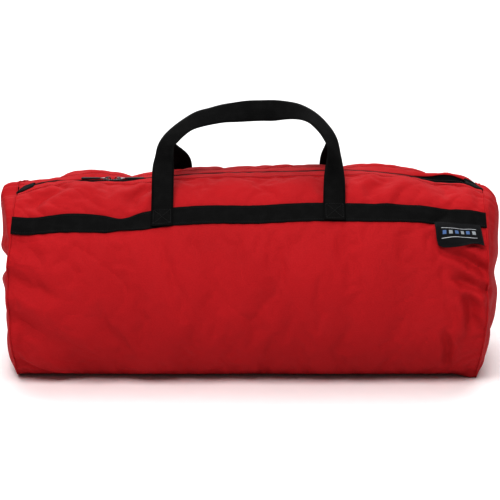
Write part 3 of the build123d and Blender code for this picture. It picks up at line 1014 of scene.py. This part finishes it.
def handle_path(side_name):
    """Middle points, width directions and normals of one handle, foot to foot."""
    side = SIDES[side_name]
    pivot = np.array(JOINTS[f"handle_{side_name}_swing"]["pos_m"], float)
    loop = np.array(LOOPS[side_name], float)
    steps = run_length(loop[:, :2])
    q = np.linspace(0, steps[-1], LOOP_POINTS)
    a, b, degrees = (through(list(zip(steps, loop[:, k])), q) for k in range(3))
    turn = np.radians(degrees)
    up = np.array([0, -side * math.sin(LEAN), math.cos(LEAN)])
    out = np.array([0, side * math.cos(LEAN), math.sin(LEAN)])
    middle = np.array([0.0, pivot[1], pivot[2]]) + a[:, None] * [1, 0, 0] + b[:, None] * up
    ahead = unit(np.gradient(middle, axis=0))
    radial = np.cross(ahead, out)
    radial *= np.sign(radial[len(q) // 2] @ up)
    normal = np.cos(turn)[:, None] * out + np.sin(turn)[:, None] * radial
    keep = slice(8, -8)
    middle, normal = middle[keep], normal[keep]

    feet, foot_normals = [], []
    for end in (0, -1):
        x0 = loop[end, 0]
        t_band = float(band_at(x0, side))
        t = np.linspace(t_band + side * WEBBING / 2, t_band - side * (WEBBING / 2 + 0.003), FOOT_POINTS)
        feet.append(over(x0 + 0 * t, t, BAND_LIFT + 2 * WEBBING_THICK + 0.0003 + 0 * t, 0.0))
        foot_normals.append(skin_normal(x0 + 0 * t, t, 0.0))
    points = np.vstack([feet[0], middle, feet[1][::-1]])
    normals = np.vstack([foot_normals[0], normal, foot_normals[1][::-1]])
    # Ease the turn from foot to leg.
    eased = np.zeros((len(points), 1), bool)
    low, high = FOOT_POINTS - 3, FOOT_POINTS + 14
    eased[low:high] = eased[-high:-low] = True
    for _ in range(8):
        points = np.where(eased, softened(points), points)
        normals = np.where(eased, softened(normals), normals)
    ahead = unit(np.gradient(points, axis=0))
    normals = unit(normals - ahead * np.sum(normals * ahead, 1, keepdims=True))
    return points, np.cross(ahead, normals), normals


def handle(side_name):
    """Flat webbing, slightly cupped, along the handle's path from its feet on the bag over its loop."""
    points, widths, normals = handle_path(side_name)
    share = np.linspace(-1, 1, 9)
    half_thick = WEBBING_THICK / 2 * (1 - 0.45 * np.abs(share) ** 8)
    v = np.concatenate([share, share[::-1]]) * WEBBING / 2
    h = np.concatenate([half_thick, -half_thick[::-1]]) + 0.0007 * (1 - (v / (WEBBING / 2)) ** 2)
    verts = points[:, None] + widths[:, None] * v[None, :, None] + normals[:, None] * h[None, :, None]
    uvs = np.stack(np.broadcast_arrays(run_length(points)[:, None], v[None, :]), -1)
    faces = capped(len(points), len(v))
    made = mesh_piece(f"handle_{side_name}", verts, faces, [WEB], uvs, closed=True)
    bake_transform(made)
    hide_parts(f"handle_loop_{side_name}", f"handle_feet_{side_name}")


def foot_stitches(side_name):
    """Box and cross stitching through each foot, band and cloth."""
    side = SIDES[side_name]
    runs = []
    for x0 in (LOOPS[side_name][0][0], LOOPS[side_name][-1][0]):
        middle = float(band_at(x0, side))
        w, h = 0.0150, 0.0150
        corners = [(-w, -h), (w, -h), (w, h), (-w, h), (-w, -h), (w, h), (w, -h), (-w, h)]
        for (ax, at), (bx, bt) in zip(corners[:-1], corners[1:]):
            steps = max(2, int(math.hypot(bx - ax, bt - at) / 0.0038))
            xs = np.linspace(x0 + ax, x0 + bx, steps + 1)
            ts = middle + np.linspace(at, bt, steps + 1)
            normals = skin_normal(xs, ts, 0.0)
            points = over(xs, ts, BAND_LIFT + 3 * WEBBING_THICK + 0 * xs, 0.0) + normals * 0.00045
            runs.append((points, normals))
    stitch_piece(f"foot_stitches_{side_name}", runs, BLACK_THREAD, "shell", 0.0032, 0.00042)


for side_name in SIDES:
    handle(side_name)
    foot_stitches(side_name)


# ---------------------------------------------------------------- the zip: facings, tapes, teeth
def beside_zip(x, u, side, lift, fine=0.0):
    """A point u metres from the zip's line on one side, lifted off the skin."""
    return over(x, zip_at(x) + side * u, lift, fine)


TOOTH_PITCH = 0.0036


def facing_gap(x, side):
    """Half the gap between the facings: wider where the sliders rest or stop, gaping near the right end."""
    gap = 0.0036 + 0.0040 * bump(x, -0.372, 0.022) + 0.0046 * bump(x, -0.250, 0.026)
    gap = gap + 0.0062 * bump(x, -0.218, 0.020) + 0.0008 * noise(x * 22, 1.0, 43)
    if side < 0:
        return gap + 0.0105 * bump(x, 0.352, 0.046)
    return gap + 0.0135 * bump(x, 0.352, 0.046) + 0.0040 * bump(x, -0.370, 0.018)


def zip_part(made, part, side_name, stretch):
    """One stretch of a facing, tape or row of teeth: the west and left ones stand for the CAD nodes."""
    node = {"west": f"zip_{part}_{side_name}", "left": f"mouth_zip_{part}_{side_name}"}.get(stretch)
    ride_or_fold(made, side_name, stretch, [node] if node else [])


def facing(side_name, stretch, x0, x1):
    """Folded cloth strip that covers the tape's outer part: rolled inner edge, stitched outer edge."""
    side = SIDES[side_name]
    u, h = np.array([
        (0.0040, 0.0004), (0.0014, 0.0003), (0.0002, 0.0008), (0.0000, 0.0015), (0.0003, 0.0023),
        (0.0014, 0.0028), (0.0036, 0.0029), (0.0085, 0.0025), (0.0150, 0.0019), (FACING_SEAM, 0.0012),
        (0.0305, 0.0010), (0.0308, 0.0001),
    ]).T
    k = np.arange(len(u), dtype=float)

    def shape(x, place):
        gap = facing_gap(x, side)
        share = np.interp(place, k, u)
        uu = share + gap * (1 - smooth(share, 0.008, FACING_SEAM - 0.004))
        wave = 0.0005 * noise(x * 55, side * 3.0 + uu * 40, 41)
        lift = np.interp(place, k, h) + wave * (1 - smooth(uu, 0.017, 0.026))
        return beside_zip(x, uu + 0.5 * wave, side, lift, 1.0)

    made = surface_piece(
        f"facing_{side_name}_{stretch}", shape, spans(x0, x1, 0.005), np.linspace(0, k[-1], 23),
        lambda x, place: np.stack([x, np.interp(place, k, u)], -1), RED, 0.0007,
    )
    zip_part(made, "facing", side_name, stretch)
    # The stitches' dark thread is painted shade, standing in for the fold shadow along the facing's seam.
    row = FACING_SEAM - 0.0022
    s = spans(x0 + 0.001, x1 - 0.001, 0.0040)
    points = beside_zip(s, row + 0 * s, side, 0.0021 + 0 * s, 1.0)
    verts, faces = stitch_run(points, skin_normal(s, zip_at(s) + side * row, 0.0), 0.0029, 0.00034)
    sewn = mesh_piece(f"facing_stitches_{side_name}_{stretch}", verts, faces, [RED_THREAD], closed=True)
    ride_or_fold(sewn, side_name, stretch)


def tape(side_name, stretch, x0, x1):
    """Woven tape with a corded inner edge that carries the teeth."""
    side = SIDES[side_name]
    u = np.array([0.0016, 0.0019, 0.0028, 0.0040, 0.0080, 0.0120, 0.0200])
    h = np.array([-0.0006, 0.0004, 0.0004, -0.0002, -0.0004, -0.0010, -0.0016])
    k = np.arange(len(u), dtype=float)
    made = surface_piece(
        f"tape_{side_name}_{stretch}",
        lambda x, place: beside_zip(x, np.interp(place, k, u), side, np.interp(place, k, h)),
        spans(x0, x1, 0.006), np.linspace(0, k[-1], 13),
        lambda x, place: np.stack([x, np.interp(place, k, u)], -1), TAPE, 0.0006,
    )
    zip_part(made, "tape", side_name, stretch)


def teeth(side_name, stretch, x0, x1):
    """Moulded teeth: a body that grips the tape and a rounded head past the middle line."""
    side = SIDES[side_name]
    count = int(round((x1 - x0) / TOOTH_PITCH))
    xs = x0 + (np.arange(count) + (0.25 if side < 0 else 0.75)) * (x1 - x0) / count
    # Plan outline of one tooth: (along, across), the head is towards the other side.
    half = [(0.00080, 0.0042), (0.00080, 0.0018), (0.00062, 0.0010), (0.00105, 0.0002), (0.00095, -0.0007)]
    plan = [(-along, across) for along, across in half] + half[::-1]
    middle = 0.0017
    levels = [(-0.0013, 0.72), (-0.0009, 1.0), (0.0013, 1.0), (0.0018, 0.72)]
    verts, faces = [], []
    for x in xs:
        base = len(verts)
        for height, size in levels:
            for along, across in plan:
                verts.append((x + along * size, middle + (across - middle) * size, height))
        faces += capped(len(levels), len(plan), base)
    x, u, lift = np.array(verts).T
    points = beside_zip(x, u, side, lift)
    made = mesh_piece(f"teeth_{side_name}_{stretch}", points, faces, [TEETH], flat=True, closed=True)
    zip_part(made, "teeth", side_name, stretch)


ZIP_REACH = SEAM - 0.003
for side_name in SIDES:
    for stretch, (x0, x1) in STRETCHES.items():
        x0, x1 = max(x0, -ZIP_REACH), min(x1, ZIP_REACH)
        facing(side_name, stretch, x0, x1)
        tape(side_name, stretch, x0, x1)
        teeth(side_name, stretch, x0, x1)


# ---------------------------------------------------------------- zip end tabs
TAB_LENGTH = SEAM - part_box("zip_end_tab_right")[0][0]
TAB_HALF = 0.0155  # half width of a tab
TAB_ROW = 0.76  # place of its stitches, as a share of the half width


def tab_half(p):
    """Half width along a tab, from its tip (0) to its blunt end (1)."""
    return TAB_HALF * np.minimum(1.0, 0.30 + 1.7 * p) * (1 - 0.22 * np.clip((p - 0.90) / 0.10, 0, 1) ** 2)


def tab_place(p, w, sign, lift):
    x = sign * (SEAM - 0.0005 - TAB_LENGTH * p)
    return over(x, zip_at(x) + w * tab_half(p), lift, 0.0)


def end_tab(name, sign):
    """A folded black tab over the zip's end, tapered towards the seam."""

    def shape(p, w):
        fade = np.clip(np.abs(w), 0, 1)
        lift = 0.0032 + 0.0014 * (1 - fade**2) - 0.0012 * fade**8 - 0.0010 * bump(p, 0, 0.08)
        return tab_place(p, w, sign, lift)

    return surface_piece(
        name, shape, np.linspace(0, 1, 29), np.linspace(-1, 1, 23),
        lambda p, w: np.stack([TAB_LENGTH * p, w * TAB_HALF], -1), BINDING, 0.0014,
    )


for end_name, sign in (("left", -1), ("right", 1)):
    made = end_tab(f"end_tab_{end_name}", sign)
    finish_piece(made, "shell", [f"zip_end_tab_{end_name}"])
    up = np.tile([0.0, 0.0, 1.0], (8, 1))
    p, w = np.linspace(0.20, 0.90, 8), np.full(8, TAB_ROW)
    runs = [(tab_place(p, row, sign, 0.0046 - 0.0012 * row**2), up) for row in (-w, w)]
    p, w = np.full(8, 0.90), np.linspace(-TAB_ROW, TAB_ROW, 8)
    runs.append((tab_place(p, w, sign, 0.0048 - 0.0014 * w**2), up))
    stitch_piece(f"end_tab_stitches_{end_name}", runs, BLACK_THREAD, "shell")


# ---------------------------------------------------------------- sliders and pulls
def lofted(sections):
    """Closed solid through rings of points with equal counts: verts and faces."""
    return [p for ring in sections for p in ring], capped(len(sections), len(sections[0]))


def join(parts):
    verts, faces = [], []
    for v, f in parts:
        start = len(verts)
        verts += [tuple(p) for p in v]
        faces += [tuple(i + start for i in face) for face in f]
    return verts, faces


PLATE_NOSE, PLATE_TAIL = 0.0064, 0.0052  # half widths of a slider's plates
PLATE_SHAPE = [(0.0, 0.55), (0.06, 0.85), (0.2, 1.0), (0.5, 0.97), (0.8, 0.86), (0.95, 0.72), (1.0, 0.5)]


def plate(x_nose, x_tail, z0, z1, bevel=0.0006):
    """A slider plate: broad at the nose, narrower at the tail, edges rounded."""
    edge = []
    for share, half in PLATE_SHAPE:
        width = PLATE_NOSE + (PLATE_TAIL - PLATE_NOSE) * share
        edge.append((x_nose + (x_tail - x_nose) * share, half * width))
    ring = np.array([(x, ZIP_Y + y) for x, y in edge] + [(x, ZIP_Y - y) for x, y in reversed(edge)])
    centre = np.mean(ring, axis=0)
    sections = []
    for z, inset in ((z0, bevel), (z0 + bevel, 0), (z1 - bevel, 0), (z1, bevel)):
        size = 1 - inset / PLATE_NOSE * 1.6
        sections.append([(x, y, z) for x, y in centre + (ring - centre) * size])
    return lofted(sections)


def arch(middle, half_length, z_base, z_top, half_width, thick):
    """The bridge on a slider that holds the link: a bent strap in the XZ plane."""
    steps = 12
    sections = []
    for i in range(steps + 1):
        turn = math.pi * i / steps
        rise = min(1.0, 1.25 * math.sin(turn)) ** 0.7 if 0 < i < steps else 0.0
        x = middle - half_length * math.cos(turn)
        z = z_base + (z_top - z_base) * rise
        nx, nz = -math.cos(turn) * thick / 2, math.sin(turn) * thick / 2
        corners = ((-1, -1), (-1, 1), (1, 1), (1, -1))
        sections.append([(x + nx * h, ZIP_Y + w * half_width, z + nz * h) for w, h in corners])
    return lofted(sections)


def bar(xs, corners):
    """A straight bar along X with the given (y, z) corners."""
    return lofted([[(x, y, z) for y, z in corners] for x in xs])


def signed_power(v, power):
    return math.copysign(abs(v) ** power, v)


for name, way in (("left", -1), ("right", 1)):
    low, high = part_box(f"slider_{name}")
    middle_x = (low[0] + high[0]) / 2
    pivot = JOINTS[f"pull_{name}_flip"]["pos_m"]
    plate_low, plate_high = ZIP_Z + 0.0019, ZIP_Z + 0.0034
    nose, tail = middle_x - way * 0.0080, middle_x + way * 0.0080
    post_x = (nose + way * 0.0005, nose + way * 0.0060)
    post = [(x, ZIP_Y + y) for x, y in zip(post_x + post_x[::-1], (-0.0003, -0.0003, 0.0003, 0.0003))]
    parts = [
        plate(nose, tail, plate_low, plate_high),
        plate(nose, tail, ZIP_Z - 0.0034, ZIP_Z - 0.0019),
        lofted([[(x, y, z) for x, y in post] for z in (ZIP_Z - 0.0021, ZIP_Z + 0.0021)]),
        arch(middle_x, 0.0050, plate_high - 0.0003, pivot[2] + 0.0021, 0.0016, 0.0011),
    ]
    for sign in (-1, 1):
        y0, y1 = ZIP_Y - sign * 0.0062, ZIP_Y - sign * 0.0051
        lip = [(y0, plate_low), (y1, plate_low), (y1, plate_low - 0.0011), (y0, plate_low - 0.0011)]
        parts.append(bar((nose + way * 0.003, tail - way * 0.0005), lip))
    slider = mesh_piece(f"slider_body_{name}", *join(parts), [LACQUER], flat=True, closed=True)
    rounding = slider.modifiers.new("round", "BEVEL")
    rounding.width = 0.00022
    rounding.segments = 2
    rounding.limit_method = "ANGLE"
    finish_piece(slider, f"slider_{name}", [f"slider_{name}"])

    # Wire link: through the bridge, then pinched into the grip.
    reach = 0.0125
    points = []
    for k in range(28):
        turn = 2 * math.pi * k / 28
        x = pivot[0] + way * (reach / 2 + 0.0002) - way * math.cos(turn) * (reach / 2 + 0.0012)
        taper = 0.0036 - 0.0010 * (0.5 - 0.5 * math.cos(turn))
        points.append((x, ZIP_Y + signed_power(math.sin(turn), 0.6) * taper, pivot[2]))
    link = mesh_piece(f"link_{name}", *tube(points, 0.0008)[:2], [STEEL], closed=True)
    finish_piece(link, f"pull_{name}", [f"pull_link_{name}"])

    # Moulded grip: waisted bar with cross ribs and a rounded tip.
    low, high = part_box(f"pull_grip_{name}")
    length = high[0] - low[0]
    start_x = low[0] if way > 0 else high[0]
    sections = []
    for s in np.linspace(0, 1, 61):
        ease = min(1.0, s / 0.07, (1 - s) / 0.05)
        cap = math.sqrt(max(0.0, 1 - (1 - ease) ** 2))
        waist = 1 - 0.16 * math.exp(-(((s - 0.45) / 0.22) ** 2))
        rib = 0.00022 * (0.5 + 0.5 * math.cos(2 * math.pi * s * 16)) if 0.18 < s < 0.86 else 0.0
        half = (high[1] - low[1]) / 2 * (0.62 + 0.38 * min(1, s / 0.25)) * waist * (0.25 + 0.75 * cap)
        thick = (high[2] - low[2]) / 2 * (0.30 + 0.70 * cap) * (0.85 + 0.15 * s) + rib - 0.0001
        ring = []
        for k in range(20):
            turn = 2 * math.pi * k / 20
            y = ZIP_Y + half * signed_power(math.cos(turn), 0.55)
            z = pivot[2] + thick * signed_power(math.sin(turn), 0.7)
            ring.append((start_x + way * length * s, y, z))
        sections.append(ring)
    grip = mesh_piece(f"grip_{name}", *lofted(sections), [GRIP], closed=True)
    finish_piece(grip, f"pull_{name}", [f"pull_grip_{name}"])


# ---------------------------------------------------------------- the woven tag
TAG_HEIGHT = 0.046  # flat


def tag():
    """A small hung sheet, sewn in under the front band along its top edge."""
    low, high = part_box("label_tag")
    width, height = high[0] - low[0], TAG_HEIGHT
    centre_x = (low[0] + high[0]) / 2

    def shape(p, q):
        x = centre_x + (p - 0.5) * width + 0.004 * q
        top_t = band_at(centre_x + 0 * p, -1) - WEBBING / 2 + 0.0015
        t = top_t - height * q * (1 - 0.06 * p) - 0.003 * (p - 0.5)
        lift = 0.0028 + 0.0020 * q + 0.0050 * (p * q) ** 2 + 0.0007 * np.sin(p * 3.1 * math.pi) * q
        return over(x, t, lift + 0.0012 * (1 - p) ** 3 * q**2, 0.0)

    made = surface_piece(
        "woven_tag", shape, np.linspace(0, 1, 41), np.linspace(0, 1, 25),
        lambda p, q: np.stack([(p - 0.5) * width, (0.5 - q) * height], -1), LABEL, 0.0009,
    )
    finish_piece(made, "label", ["label_tag"])


tag()

# ---------------------------------------------------------------- stage, light, camera
def stage():
    size = 14.0
    verts = [(-size, -size, 0), (size, -size, 0), (size, size, 0), (-size, size, 0)]
    look = Look("pale_floor", 0.75, 0.2)
    speck = look.noise(look.place(), 30.0, 3.0, 0.2, 0.8)
    look.show("Base Color", look.mix(speck, (0.93, 0.93, 0.93), (0.91, 0.91, 0.91)))
    floor = mesh_piece("floor", verts, [(0, 1, 2, 3)], [look.made])
    floor.location.z = -0.0002
    floor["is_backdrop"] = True


def soft_light(name, place, aim, size, power):
    data = bpy.data.lights.new(name, "AREA")
    data.shape = "RECTANGLE"
    data.size, data.size_y = size
    data.energy = power
    made = bpy.data.objects.new(name, data)
    bpy.context.collection.objects.link(made)
    made.location = place
    direction = Vector(aim) - Vector(place)
    made.rotation_euler = direction.to_track_quat("-Z", "Y").to_euler()


stage()
soft_light("key", (-0.5, -2.1, 3.3), (0, 0, 0.2), (2.4, 1.7), 134.0)
soft_light("top", (0.3, 0.6, 3.2), (0, 0, 0.2), (3.0, 2.0), 42.0)
soft_light("backdrop", (0, 8.0, 5.0), (0, 7.0, 0), (16.0, 8.0), 900.0)
scene = bpy.context.scene
scene.world = bpy.data.worlds.new("studio")
scene.world.use_nodes = True
background = scene.world.node_tree.nodes["Background"].inputs
background["Color"].default_value = (1.0, 1.0, 1.0, 1.0)
background["Strength"].default_value = 0.34
scene.view_settings.view_transform = "Standard"
scene.view_settings.gamma = 0.75

ELEVATION = math.radians(14.5)
DISTANCE = 2.704
AIM_X, AIM_Z = 0.0018, 0.2074
camera_data = bpy.data.cameras.new("camera")
camera_data.sensor_width = 36.0
camera_data.lens = 106.07
camera = bpy.data.objects.new("camera", camera_data)
bpy.context.collection.objects.link(camera)
camera.location = (AIM_X, -DISTANCE * math.cos(ELEVATION), AIM_Z + DISTANCE * math.sin(ELEVATION))
camera.rotation_euler = (math.pi / 2 - ELEVATION, 0, 0)
scene.camera = camera

low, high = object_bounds()
